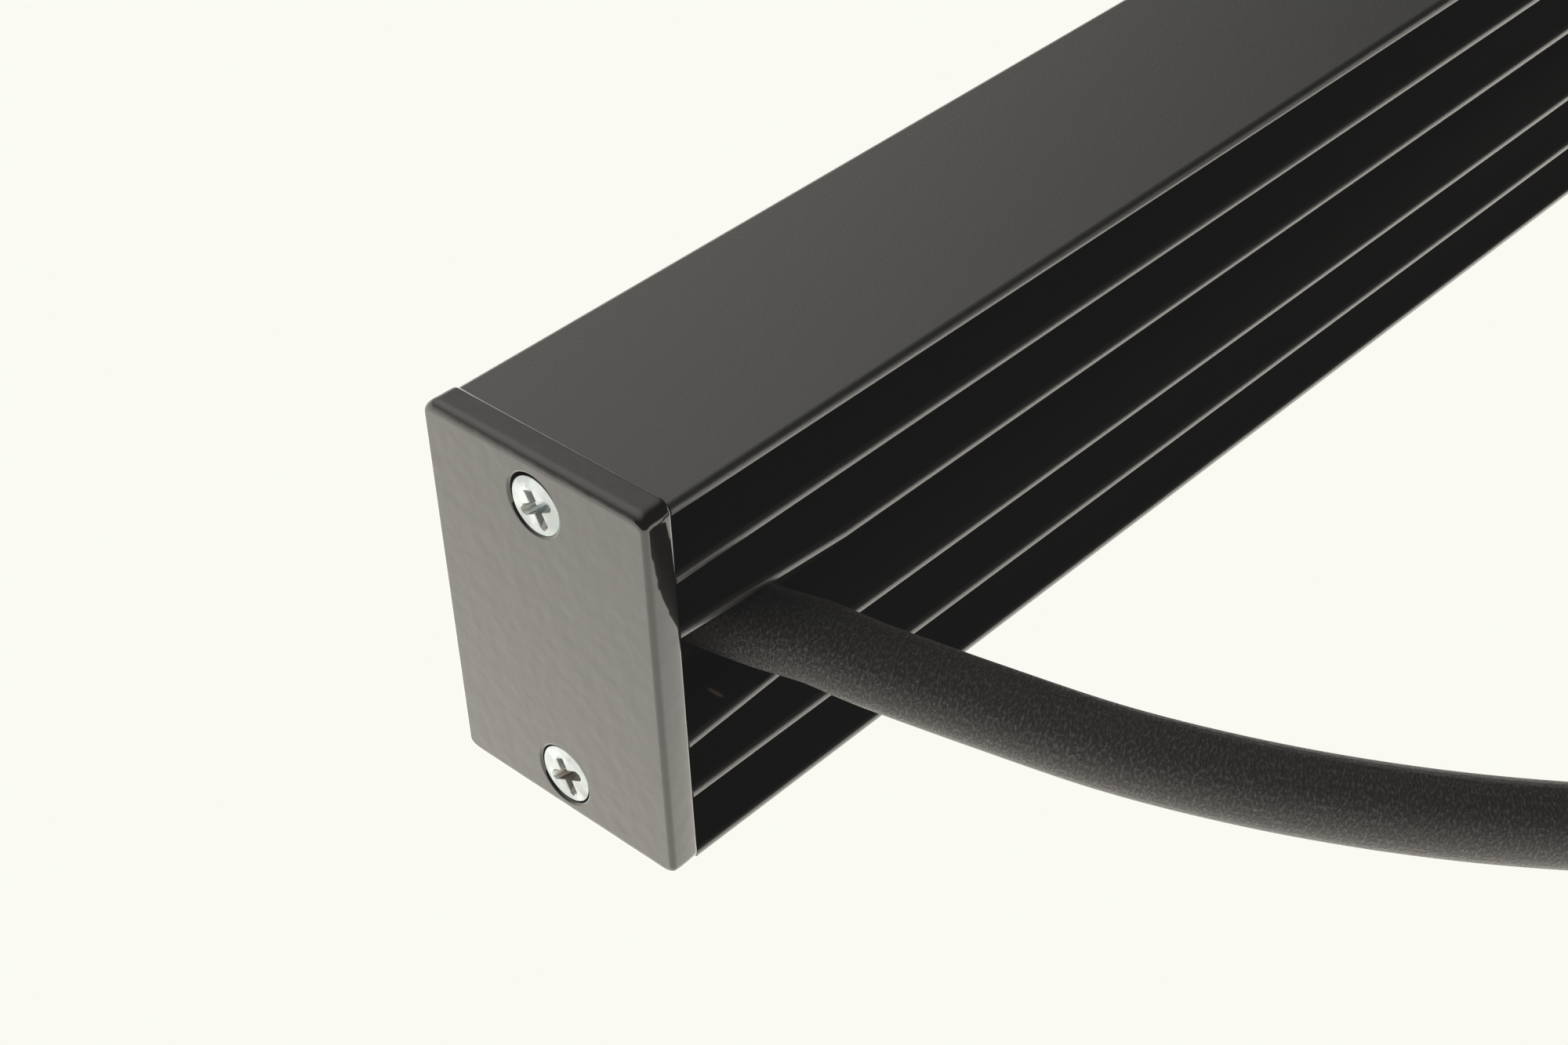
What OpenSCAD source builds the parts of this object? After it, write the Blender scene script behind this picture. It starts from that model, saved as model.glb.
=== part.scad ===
// LED strip batten: a finned aluminium extrusion with an opal cover, two screwed end caps,
// an LED strip inside and a rubber cord that leaves the back near one end.
// X runs along the batten with the cord at +X, Y points out of the finned back, Z is up.
// The batten lies on one plain side wall, as it would on a table.

/* [Batten] */
// Length over both end caps
batten_l = 500; // [300:50:1200]
// Height of the extrusion over its two plain side walls
profile_h = 34.5; // [32:0.1:44]
// Depth of the extrusion from its light side to the fin tips
profile_d = 23.2; // [22:0.1:32]
// Radius along the long outer edges
edge_r = 0.6; // [0.3:0.05:0.8]
// Thickness of the side walls
wall_t = 1; // [1:0.1:2]
// Thickness of the web between the fins and the light channel
web_t = 2.4; // [1.6:0.1:3]

/* [Heat sink] */
// Depth of the grooves between the fins
fin_depth = 7; // [5:0.1:7.5]
// Thickness of a fin
fin_t = 1; // [0.9:0.1:1.6]
// Width of the flat that is left between the rounded edges of a fin's tip
tip_flat = 0.1; // [0.05:0.05:0.5]
// Distance of the two inner fins from mid height
inner_fin = 4.2; // [4:0.1:5.5]
// Distance of the two outer fins from mid height
outer_fin = 10.5; // [9:0.1:11.5]
// Flare where a fin meets the web
root_flare = 0.4; // [0.2:0.1:0.8]
// How far the two inner fins are pressed apart at the cable end
splay = 1.2; // [0.6:0.1:1.4]
// Length over which they are pressed apart
splay_l = 18; // [16:1:24]

/* [End caps] */
// Thickness of an end cap
cap_t = 3; // [2.4:0.1:5]
// How far a cap stands proud of the fins and of the light side
cap_overhang = 0.3; // [0.2:0.1:1]
// How far a cap stands proud of the upper side; it is flush with the lower one
cap_lip = 0.5; // [0.2:0.1:1]
// Radius of a cap's four corners
cap_corner_r = 0.7; // [0.4:0.1:2]
// Radius along a cap's outer edges
cap_edge_r = 0.75; // [0.4:0.05:1.2]
// Radius of the coat along a cap's inner edges
cap_back_r = 0.5; // [0.1:0.05:0.6]

/* [Cap screws] */
// Thread diameter
screw_d = 3; // [2.5:0.1:3.2]
// Length over the head
screw_l = 12; // [8:1:20]
// Diameter of the countersunk head
head_d = 5.2; // [5:0.1:6]
// Depth of a head below the cap's face
head_sink = 0.15; // [0.1:0.05:0.5]
// Distance of a screw from the nearest side of the extrusion
screw_inset = 4; // [3.8:0.1:5]
// Wall round the bore of a screw port
port_wall = 1.15; // [0.8:0.05:1.5]
// Width of the slit along a screw port
port_slit = 1.2; // [0.6:0.1:1.6]
// Angle that a cross recess has turned to
recess_turn = 27; // [0:1:89]

/* [Cover] */
// Thickness of the opal cover
cover_t = 2; // [1.5:0.1:3]
// Thickness of the two ribs that hold each edge of the cover
rib_t = 1; // [0.8:0.1:1.5]
// How far the ribs reach over the cover's edge
rib_reach = 1.3; // [1:0.1:2]

/* [LED strip] */
// Width of the strip
strip_w = 12; // [8:0.5:12]
// Thickness of the strip's board
strip_t = 0.3; // [0.2:0.05:0.6]
// Thickness of the adhesive tape
tape_t = 0.2; // [0.1:0.05:0.4]
// Length of one cut section of the strip
section_l = 50; // [40:5:100]
// LEDs in a cut section
section_leds = 3; // [2:1:5]
// Side of a square LED package
led_w = 5; // [3:0.1:5]
// Height of an LED package
led_h = 1.6; // [1:0.1:2]
// Distance of the strip's end from the cable end cap's face
strip_inset = 26; // [25:1:40]

/* [Cord] */
// Diameter of the cord
cord_d = 6.5; // [5.5:0.1:6.9]
// Diameter of the hole that it leaves the back by
hole_d = 9; // [8.4:0.1:9.4]
// Distance of the hole from the cable end cap's face
hole_inset = 11; // [10.5:0.1:13]
// Diameter of an insulated core
core_d = 1.9; // [1.4:0.1:2.2]
// Free turns in the coil, spiralling in and out again
coil_turns = 6; // [4:1:6]
// Least radius of the coil's turns
coil_r = 25; // [25:1:32]
// Width of the tie round the coil
tie_w = 8; // [6:1:12]
// Thickness of the tie round the coil
tie_t = 1; // [0.8:0.1:1.5]

/* [Connector] */
// Outer diameter of the metal shell
shell_d = 19; // [18:0.1:22]
// Wall of the shell round its socket
shell_wall = 1.4; // [1:0.1:1.6]
// Length of the metal shell
shell_l = 36; // [34:1:44]
// Depth of the socket
socket_depth = 14; // [13:0.5:16]
// Diameter of a pin
pin_d = 2.4; // [2:0.1:2.6]
// Diameter of the circle that the pins stand on
pin_circle_d = 8.6; // [8:0.1:9]
// Length of a pin in the socket
pin_l = 8.5; // [7:0.5:9]
// Length of the boot behind the shell
boot_l = 30; // [24:1:40]

/* [Hidden] */
$fn = 64;

// Clearances
over = 1;
thread_gap = 0.05;
screw_play = 0.2;
cover_gap = 0.15;
turn_gap = 0.6;
tie_gap = 0.4;
fit_gap = 0.1;

// Batten
half_l = batten_l / 2;
extrusion_l = batten_l - 2 * cap_t;
cap_h = profile_h + cap_lip;
cap_w = profile_d + 2 * cap_overhang;
cap_z = cap_h / 2;
mid_z = profile_h / 2;
tip_y = profile_d / 2;
tip_r = (fin_t - tip_flat) / 2;
rim_r = min(wall_t - edge_r, wall_t / 2) - tip_flat;
wall_in = profile_h / 2 - wall_t;
groove_floor_y = tip_y - fin_depth;
web_front_y = groove_floor_y - web_t;
splay_x = extrusion_l / 2 - splay_l;

// Screw ports, on the middle of the batten's depth as the caps' screws are
port_z = profile_h / 2 - screw_inset;
port_bore_r = screw_d / 2 + thread_gap;
port_r = port_bore_r + port_wall;
port_foot = port_bore_r + 0.8 * port_wall;
screw_hole_r = screw_d / 2 + screw_play;
head_r = head_d / 2;
head_h = head_r - screw_d / 2;
sink_r = head_r + head_sink + thread_gap;
recess_r = 0.34 * head_d;
recess_w = 0.8;
recess_depth = 1.5;

// Cover, in grooves one rib behind the light side
cover_front_y = -tip_y + rib_t + cover_gap;
rear_rib_y = cover_front_y + cover_t + cover_gap;

// LED strip, stuck to the light side of the web between two low ridges
ridge = 0.8;
ridge_gap = 0.3;
board_back_y = web_front_y - tape_t;
board_front_y = board_back_y - strip_t;
strip_end_x = half_l - strip_inset;
strip_l = section_l * floor((strip_end_x + half_l - cap_t) / section_l);
led_pitch = section_l / section_leds;
led_rim = 0.5;
led_window_d = led_w - 2 * led_rim;
led_window_depth = 0.25;
resistor = [3.2, 0.6, 1.6];
pad_inset = 3;
pad_spread = 3.75;
joint_h = 0.6;
joint_r = [1.5, 1.1];

// Cord: it starts inside the light channel and leaves by the hole in the middle groove
cord_r = cord_d / 2;
exit = [half_l - hole_inset, tip_y, mid_z];
sheath_in = 4.2;
sheath_end_y = web_front_y - sheath_in;
relief_w = 2.5;
relief_t = 1.1;
relief_gap = 0.4;
relief_back_y = web_front_y - ridge - relief_gap;
relief_head = [5, relief_w, 4];
core_gap = 0.4;
core_offset = (core_d + core_gap) / 2;
core_bend_r = 2.6;
core_lead = 0.6;

// Route of the free stretch from the exit: along X, out along Y, share of the drop to the table.
// The cord bears on the upper inner fin as it leaves, so it rises a little first.
lead_route = [[0, -10, 0], [-0.1, -6, -0.02], [-0.5, 0, -0.08], [-1.6, 4.6, -0.095], [-2.9, 9, -0.04],
    [-6.3, 17.8, 0.08], [-9.8, 26.3, 0.19], [-14.2, 34.1, 0.305], [-19.4, 41.2, 0.435],
    [-25.3, 47.9, 0.57], [-32, 54.3, 0.715], [-40, 62, 0.85], [-48.2, 70.8, 0.945], [-56.5, 80.5, 1],
    [-64, 90, 1]];
lead_heading = 127;
tail_heading = 180;
// Route of the stretch from the coil to the connector: along the tail, share of the drop
tail_route = [[0, 0], [6, 0], [12, 0.3], [18, 0.7], [24, 1], [30, 1]];

// Coil: a spiral in on the lower layer and out on the upper one, with a straight run at each end
turn_step = cord_d + turn_gap;
rings_per_turn = 24;
coil_lift = tie_t + tie_gap;
coil_z = cord_r + coil_lift;
upper_z = coil_z + turn_step;
spiral_turns = coil_turns / 2 + (tail_heading - lead_heading) / 720;
coil_outer_r = coil_r + turn_step * spiral_turns;
route_end = lead_route[len(lead_route) - 1];
coil_in = [exit.x + route_end.x, exit.y + route_end.y] + cord_d * heading(lead_heading);
coil_start = coil_in + cord_d * heading(lead_heading);
coil_centre = coil_start + coil_outer_r * heading(lead_heading + 90);
tie_angle = lead_heading + 90;
tie_corner_r = 2;
tie_tab = 14;

// Connector, lying on the table at the end of the cord and along the batten
shell_r = shell_d / 2;
tail_start = [coil_centre.x - cord_d, coil_centre.y + coil_outer_r];
connector = [tail_start.x - tail_route[len(tail_route) - 1][0], tail_start.y, shell_r];
rim = 0.5;
shoulder = 1.4;
socket_r = shell_r - shell_wall;
shell_bore_r = socket_r - shoulder;
shell_front = boot_l + shell_l;
insert_front = shell_front - socket_depth;
insert_l = 8;
insert_flange = 1;
pin_angles = [45:90:315];
window = [4, 3.4];
window_back = 7;
thread_l = 6;
thread_wall = 1.2;
thread_r = shell_bore_r + thread_wall;
collar_l = 9;
collar_step = 0.8;
collar_r = shell_r - collar_step;
boot_taper = 2;
band_l = 4;
boot_wall = 1.6;
chuck_l = 12;
chuck_slit = 1;
chuck_slit_l = 7;
grip_r = 0.5;
grip_step = 15;

function heading(a) = [cos(a), sin(a)];
function smooth(t) = let (u = min(1, max(0, t))) u * u * (3 - 2 * u);
function unit(v) = v / norm(v);

// Points of the three stretches of the cord
function lead_points() = concat([[exit.x, sheath_end_y, exit.z]],
    [for (p = lead_route) [exit.x + p.x, exit.y + p.y, exit.z + p.z * (coil_z - exit.z)]],
    [[coil_in.x, coil_in.y, coil_z]]);
function tail_points() = concat([for (p = tail_route)
    [tail_start.x - p[0], tail_start.y, upper_z + p[1] * (shell_r - upper_z)]],
    [connector - [boot_l, 0, 0]]);
function coil_point(t) =
    let (
        r = coil_r + turn_step * (abs(t) < 0.25 ? 2 * t * t + 0.125 : abs(t)),
        a = lead_heading - 90 + 360 * (t + spiral_turns),
        z = coil_z + turn_step * smooth(2 * t + 0.5)
    )
    [coil_centre.x + r * cos(a), coil_centre.y + r * sin(a), z];
coil_rings = ceil(2 * spiral_turns * rings_per_turn);
coil_turn_points = [for (i = [0:coil_rings])
    coil_point(spiral_turns * (2 * i / coil_rings - 1))];
coil_points = concat([[coil_in.x, coil_in.y, coil_z]], coil_turn_points,
    [[tail_start.x, tail_start.y, upper_z]]);

// Least clear space between the coil's turns, half a turn or more apart
coil_gap = min([for (i = [0:coil_rings - rings_per_turn / 2])
    for (j = [i + rings_per_turn / 2:coil_rings])
        norm(coil_turn_points[i] - coil_turn_points[j]) - cord_d]);
echo(str("least gap between the coil's turns in mm: ", coil_gap));

// A tube of flat-sided rings swept along points that never run straight up or down
module tube(points, r, sides) {
    last = len(points) - 1;
    rings = [for (i = [0:last])
        let (
            ahead = unit(points[min(i + 1, last)] - points[max(i - 1, 0)]),
            side = unit(cross([0, 0, 1], ahead)),
            top = cross(ahead, side)
        )
        for (k = [0:sides - 1])
            points[i] + r * (cos(360 * k / sides) * side + sin(360 * k / sides) * top)];
    ends = [points[0], points[last]];
    first_hub = len(rings);
    walls = [for (i = [0:last - 1]) for (k = [0:sides - 1])
        let (a = i * sides + k, b = i * sides + (k + 1) % sides)
        each [[a, a + sides, b + sides], [a, b + sides, b]]];
    start_fan = [for (k = [0:sides - 1]) [first_hub, k, (k + 1) % sides]];
    end_fan = [for (k = [0:sides - 1])
        [first_hub + 1, last * sides + (k + 1) % sides, last * sides + k]];
    polyhedron(concat(rings, ends), concat(walls, start_fan, end_fan));
}

// Extrudes an outline drawn in Y and Z along X, from x0 on
module along_x(x0, length, z = mid_z) {
    translate([x0, 0, z]) rotate([90, 0, 90]) linear_extrude(length) children();
}

module rounded_rect(size, r) {
    square([size.x, size.y - 2 * r], center = true);
    square([size.x - 2 * r, size.y], center = true);
    for (sx = [-1, 1]) for (sy = [-1, 1])
        translate([sx * (size.x / 2 - r), sy * (size.y / 2 - r)]) circle(r);
}

// A wall in the section, from one depth to a tip with two rounded corners
module rounded_wall(back_y, front_y, thickness, r) {
    translate([back_y, -thickness / 2]) square([front_y - r - back_y, thickness]);
    translate([back_y, r - thickness / 2]) square([front_y - back_y, thickness - 2 * r]);
    for (s = [-1, 1]) translate([front_y - r, s * (thickness / 2 - r)]) circle(r);
}

// One fin of the heat sink, with a flare on each side of its root
module fin() {
    half_t = fin_t / 2;
    flare_y = groove_floor_y + root_flare;
    rounded_wall(web_front_y, tip_y, fin_t, tip_r);
    polygon([
        [web_front_y, half_t + root_flare], [groove_floor_y, half_t + root_flare], [flare_y, half_t],
        [flare_y, -half_t], [groove_floor_y, -half_t - root_flare], [web_front_y, -half_t - root_flare]
    ]);
}

// A side wall with the ribs for the cover, a screw port and a ridge beside the strip
module side_wall() {
    translate([0, (wall_in + profile_h / 2) / 2]) rounded_wall(-tip_y, tip_y, wall_t, rim_r);
    for (y = [-tip_y, rear_rib_y])
        translate([y, wall_in - rib_reach]) square([rib_t, rib_reach + wall_t / 2]);
    translate([0, port_z]) circle(port_r);
    translate([-port_foot, port_z]) square([2 * port_foot, wall_in - port_z + wall_t / 2]);
    translate([web_front_y - ridge, strip_w / 2 + ridge_gap]) square([ridge + web_t / 2, ridge]);
}

module port_bore() {
    translate([0, port_z]) circle(port_bore_r);
    translate([0, port_z]) rotate(-135) translate([0, -port_slit / 2]) square([port_r + over, port_slit]);
}

// The extrusion's section without its two inner fins
module profile_section() {
    difference() {
        intersection() {
            rounded_rect([profile_d, profile_h], edge_r);
            union() {
                translate([web_front_y, -profile_h / 2]) square([web_t, profile_h]);
                for (side = [0, 1]) mirror([0, side]) {
                    side_wall();
                    translate([0, outer_fin]) fin();
                }
            }
        }
        for (side = [0, 1]) mirror([0, side]) port_bore();
    }
}

// An inner fin, above or below the middle groove, with a mitre where it bends away from the cord
module inner_fin_run(side) {
    bend = side * atan(splay / splay_l);
    straight_l = extrusion_l - splay_l;
    intersection() {
        translate([splay_x, 0, mid_z + side * inner_fin]) {
            intersection() {
                along_x(-straight_l, straight_l + over, 0) fin();
                rotate([0, -bend / 2, 0]) translate([-batten_l, -tip_y, -profile_h])
                    cube([batten_l, profile_d, 2 * profile_h]);
            }
            rotate([0, -bend, 0]) intersection() {
                along_x(-over, splay_l + 2 * over, 0) fin();
                rotate([0, bend / 2, 0]) translate([0, -tip_y, -profile_h])
                    cube([batten_l, profile_d, 2 * profile_h]);
            }
        }
        translate([-extrusion_l / 2, -tip_y, 0]) cube([extrusion_l, profile_d, cap_h]);
    }
}

// Black anodised extrusion. The cord's hole is drilled through the middle groove near one end,
// where the two inner fins are pressed apart to let the cord by.
module housing() {
    color("#26262a") difference() {
        union() {
            along_x(-extrusion_l / 2, extrusion_l) profile_section();
            for (side = [-1, 1]) inner_fin_run(side);
        }
        translate([exit.x, tip_y + over, mid_z]) rotate([90, 0, 0])
            cylinder(d = hole_d, h = fin_depth + web_t + 2 * over);
    }
}

// Turns what is made for the cable end round to the plain end
module at_end(end) {
    if (end > 0) children();
    else mirror([1, 0, 0]) children();
}

// Side view of a cap with its outer and inner corners rounded
module cap_edge_outline(height) {
    translate([cap_back_r, -height / 2]) square([cap_t - cap_back_r - cap_edge_r, height]);
    translate([0, cap_back_r - height / 2]) square([cap_t - cap_edge_r, height - 2 * cap_back_r]);
    translate([0, cap_edge_r - height / 2]) square([cap_t, height - 2 * cap_edge_r]);
    for (s = [-1, 1]) {
        translate([cap_back_r, s * (height / 2 - cap_back_r)]) circle(cap_back_r);
        translate([cap_t - cap_edge_r, s * (height / 2 - cap_edge_r)]) circle(cap_edge_r);
    }
}

// Powder-coated plate with rounded edges and two countersunk holes
module end_cap(end) {
    color("#3c3a3a") at_end(end) difference() {
        intersection() {
            along_x(half_l - cap_t, cap_t, cap_z) rounded_rect([cap_w, cap_h], cap_corner_r);
            translate([half_l - cap_t, cap_w, cap_z]) rotate([90, 0, 0])
                linear_extrude(2 * cap_w) cap_edge_outline(cap_h);
            translate([half_l - cap_t, 0, 0]) linear_extrude(cap_h) cap_edge_outline(cap_w);
        }
        for (s = [-1, 1]) translate([half_l, 0, mid_z + s * port_z]) rotate([0, -90, 0]) {
            translate([0, 0, -over]) cylinder(r = screw_hole_r, h = cap_t + 2 * over);
            translate([0, 0, -over]) cylinder(r1 = sink_r + over, r2 = 0, h = sink_r + over);
        }
    }
}
module end_cap_cable_end() { end_cap(1); }
module end_cap_plain_end() { end_cap(-1); }

// Cross-recess countersunk screw, head up at the origin
module cap_screw() {
    difference() {
        union() {
            translate([0, 0, -head_h]) cylinder(r1 = screw_d / 2, r2 = head_r, h = head_h);
            translate([0, 0, -screw_l + screw_d / 2])
                cylinder(d = screw_d, h = screw_l - screw_d / 2 - head_h);
            translate([0, 0, -screw_l]) cylinder(r1 = screw_d / 4, r2 = screw_d / 2, h = screw_d / 2);
        }
        intersection() {
            translate([0, 0, -recess_depth]) cylinder(r1 = recess_w / 2, r2 = recess_r, h = recess_depth);
            for (a = [0, 90]) rotate(a + recess_turn) translate([0, 0, -recess_depth / 2])
                cube([2 * recess_r + over, recess_w, recess_depth + over], center = true);
        }
    }
}

module cap_screws(end) {
    color("#c9cbce") at_end(end) for (s = [-1, 1])
        translate([half_l - head_sink, 0, mid_z + s * port_z]) rotate([0, 90, 0]) cap_screw();
}
module cap_screws_cable_end() { cap_screws(1); }
module cap_screws_plain_end() { cap_screws(-1); }

// Opal cover, slid into its grooves before the caps go on
module diffuser() {
    length = extrusion_l - 2 * cover_gap;
    color("#f2efe8") along_x(-length / 2, length)
        translate([cover_front_y, -wall_in + cover_gap]) square([cover_t, 2 * (wall_in - cover_gap)]);
}

// A flat layer of the strip, from one depth to the next
module strip_layer(front_y, thickness) {
    along_x(strip_end_x - strip_l, strip_l)
        translate([front_y, -strip_w / 2]) square([thickness, strip_w]);
}
module strip_tape() { color("#d8d8d4") strip_layer(board_back_y, tape_t); }
module strip_board() { color("#f0efe9") strip_layer(board_front_y, strip_t); }

// Square packages with a round window, spaced evenly along every cut section
module led_packages() {
    color("#f5e9a8") for (i = [0:round(strip_l / led_pitch) - 1])
        translate([strip_end_x - (i + 0.5) * led_pitch, board_front_y, mid_z]) rotate([90, 0, 0])
            difference() {
                translate([-led_w / 2, -led_w / 2, 0]) cube([led_w, led_w, led_h]);
                translate([0, 0, led_h - led_window_depth]) cylinder(d = led_window_d, h = over);
            }
}

// One series resistor between the first two LEDs of every cut section
module strip_resistors() {
    color("#1d1d1f") for (i = [0:round(strip_l / section_l) - 1])
        translate([strip_end_x - i * section_l - led_pitch - resistor.x / 2,
            board_front_y - resistor.y, mid_z - resistor.z / 2]) cube(resistor);
}

// Solder on the two pads at the strip's end
module solder_joints() {
    color("#b9bbbd") for (s = [-1, 1])
        translate([strip_end_x - pad_inset, board_front_y, mid_z + s * pad_spread]) rotate([90, 0, 0])
            cylinder(r1 = joint_r[0], r2 = joint_r[1], h = joint_h);
}

// A core: out of the sheath, round towards the strip, along it and back to its pad
module core(side) {
    run_x = exit.x - strip_end_x + pad_inset;
    rise_z = pad_spread - core_offset;
    run = norm([run_x, rise_z]);
    bend_y = sheath_end_y - core_lead;
    pad_y = board_front_y - joint_h;
    translate([exit.x, 0, mid_z + side * core_offset]) rotate([0, side * atan(rise_z / run_x), 0]) {
        translate([0, sheath_end_y, 0]) rotate([90, 0, 0]) cylinder(d = core_d, h = core_lead);
        translate([-core_bend_r, bend_y, 0]) rotate(-90) rotate_extrude(angle = 90)
            translate([core_bend_r, 0]) circle(d = core_d);
        translate([-core_bend_r, bend_y - core_bend_r, 0]) rotate([0, -90, 0])
            cylinder(d = core_d, h = run - 2 * core_bend_r);
        translate([-run + core_bend_r, bend_y, 0]) rotate(180) rotate_extrude(angle = 90)
            translate([core_bend_r, 0]) circle(d = core_d);
        translate([-run, bend_y, 0]) rotate([-90, 0, 0]) cylinder(d = core_d, h = pad_y - bend_y);
    }
}
module core_positive() { color("#a8281f") core(1); }
module core_negative() { color("#222225") core(-1); }

// Nylon tie on the sheath: its head is too wide for the hole, so the cord can't be pulled out
module strain_relief_tie() {
    inner_r = cord_r + fit_gap;
    color("#e9e7df") translate([exit.x, relief_back_y, mid_z]) rotate([90, 0, 0]) difference() {
        union() {
            cylinder(r = inner_r + relief_t, h = relief_w);
            translate([-relief_head.x / 2, inner_r, 0]) cube([relief_head.x, relief_head.z, relief_w]);
        }
        translate([0, 0, -over]) cylinder(r = inner_r, h = relief_w + 2 * over);
    }
}

// Rubber-sheathed cord
module cord_lead() { color("#1f1f21") tube(lead_points(), cord_r, 10); }
module cord_coil() { color("#1f1f21") tube(coil_points, cord_r, 6); }
module cord_tail() { color("#1f1f21") tube(tail_points(), cord_r, 10); }

// Hook-and-loop tie: a band round all the turns on one side of the coil, with its end lapped on top
module coil_tie() {
    radii = [for (i = [0:coil_turns - 1]) coil_r + turn_step * abs(i + 0.5 - spiral_turns)];
    bow = pow(tie_w / 2, 2) / (2 * coil_r);
    inner_r = min(radii) - cord_r - bow - tie_gap;
    outer_r = max(radii) + cord_r + tie_gap;
    inner = [outer_r - inner_r, turn_step + cord_d + 2 * tie_gap];
    outer = [inner.x + 2 * tie_t, inner.y + 2 * tie_t];
    color("#2b2b30") translate([coil_centre.x, coil_centre.y, outer.y / 2]) rotate(tie_angle)
        translate([(inner_r + outer_r) / 2, tie_w / 2, 0]) rotate([90, 0, 0]) {
            linear_extrude(tie_w) difference() {
                rounded_rect(outer, tie_corner_r);
                rounded_rect(inner, tie_corner_r - tie_t / 2);
            }
            translate([-tie_tab / 2, outer.y / 2, 0]) cube([tie_tab, tie_t, tie_w]);
        }
}

// Places a piece that stands along the connector's axis, boot first
module on_connector() {
    translate(connector) rotate([0, -90, 0]) children();
}

// Die-cast shell: a plain tube with a socket in front, a latch window over it and a screwed tail
module connector_shell() {
    color("#b4b4b2") on_connector() difference() {
        rotate_extrude() polygon([[shell_bore_r, boot_l - thread_l], [shell_bore_r, insert_front],
            [socket_r, insert_front], [socket_r, shell_front - rim], [socket_r + rim, shell_front],
            [shell_r - rim, shell_front], [shell_r, shell_front - rim], [shell_r, boot_l + band_l + rim],
            [collar_r, boot_l + band_l], [collar_r, boot_l], [thread_r, boot_l],
            [thread_r, boot_l - thread_l]]);
        translate([socket_r - over, -window.x / 2, shell_front - window_back])
            cube([shell_wall + 2 * over, window.x, window.y]);
    }
}

// Moulded insert that carries the pins, with its flange on the socket's shoulder
module connector_insert() {
    color("#202022") on_connector() difference() {
        union() {
            translate([0, 0, insert_front - insert_l]) cylinder(r = shell_bore_r - fit_gap, h = insert_l);
            translate([0, 0, insert_front]) cylinder(r = socket_r - fit_gap, h = insert_flange);
        }
        for (a = pin_angles) rotate(a) translate([pin_circle_d / 2, 0, insert_front - insert_l - over])
            cylinder(d = pin_d + 2 * thread_gap, h = insert_l + insert_flange + 2 * over);
    }
}

// Four pins with tapered tips
module connector_pins() {
    tip_h = 0.7;
    foot = insert_front - insert_l;
    shank = insert_l + insert_flange + pin_l - tip_h;
    color("#d9c27a") on_connector() for (a = pin_angles) rotate(a) translate([pin_circle_d / 2, 0, foot]) {
        cylinder(d = pin_d, h = shank);
        translate([0, 0, shank]) cylinder(d1 = pin_d, d2 = pin_d / 2, h = tip_h);
    }
}

// Split collet that the boot squeezes on to the cord
module connector_chuck() {
    outer_r = shell_bore_r - fit_gap;
    back = boot_l - thread_l;
    color("#d8d6cf") on_connector() translate([0, 0, back]) difference() {
        cylinder(r = outer_r, h = chuck_l);
        translate([0, 0, -over]) cylinder(r = cord_r + fit_gap, h = chuck_l + 2 * over);
        for (a = [0, 90]) rotate(a) translate([-outer_r - over, -chuck_slit / 2, -over])
            cube([2 * outer_r + 2 * over, chuck_slit, chuck_slit_l + over]);
    }
}

// Tapered boot with a fluted collar that screws on to the shell's tail
module connector_boot() {
    bore_r = cord_r + fit_gap;
    tail_r = cord_r + boot_wall;
    mouth_r = thread_r + fit_gap;
    collar = boot_l - collar_l;
    mouth = boot_l - thread_l - fit_gap;
    color("#29292c") on_connector() difference() {
        rotate_extrude() polygon([[bore_r, 0], [tail_r, 0], [tail_r + rim, 2 * rim],
            [collar_r - boot_taper, collar - 2 * rim], [collar_r - rim, collar], [collar_r, collar + rim],
            [collar_r, boot_l - fit_gap], [mouth_r, boot_l - fit_gap], [mouth_r, mouth], [bore_r, mouth]]);
        for (a = [0:grip_step:360 - grip_step]) rotate(a) translate([collar_r, 0, collar + 4 * rim])
            cylinder(r = grip_r, h = collar_l);
    }
}

housing();
end_cap_cable_end();
end_cap_plain_end();
cap_screws_cable_end();
cap_screws_plain_end();
diffuser();
strip_tape();
strip_board();
led_packages();
strip_resistors();
solder_joints();
core_positive();
core_negative();
strain_relief_tie();
cord_lead();
cord_coil();
cord_tail();
coil_tie();
connector_shell();
connector_insert();
connector_pins();
connector_chuck();
connector_boot();
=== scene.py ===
import math

import bmesh
import bpy
from mathutils import Matrix, Vector


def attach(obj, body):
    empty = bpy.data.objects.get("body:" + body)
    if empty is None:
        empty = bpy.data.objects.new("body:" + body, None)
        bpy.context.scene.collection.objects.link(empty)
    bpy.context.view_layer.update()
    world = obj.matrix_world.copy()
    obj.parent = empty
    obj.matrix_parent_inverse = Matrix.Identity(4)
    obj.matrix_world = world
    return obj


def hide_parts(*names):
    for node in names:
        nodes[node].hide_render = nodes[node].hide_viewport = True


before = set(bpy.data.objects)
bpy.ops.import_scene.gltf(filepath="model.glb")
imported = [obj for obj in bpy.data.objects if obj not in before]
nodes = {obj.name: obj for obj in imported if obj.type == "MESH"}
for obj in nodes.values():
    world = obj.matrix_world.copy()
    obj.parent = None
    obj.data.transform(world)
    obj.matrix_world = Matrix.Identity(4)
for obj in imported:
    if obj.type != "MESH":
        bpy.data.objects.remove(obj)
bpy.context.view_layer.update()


# Housing: one length of extruded aluminium with a finned back, sawn to length, anodised black and then
# drilled for the cord. The solid is exact, so it keeps its shape and gets the finish.
mm = 0.001
mid_z = 17.25


def linear(hex_colour):
    channels = [int(hex_colour[i:i + 2], 16) / 255 for i in (1, 3, 5)]
    return (*[c / 12.92 if c <= 0.04045 else ((c + 0.055) / 1.055) ** 2.4 for c in channels], 1)


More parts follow.
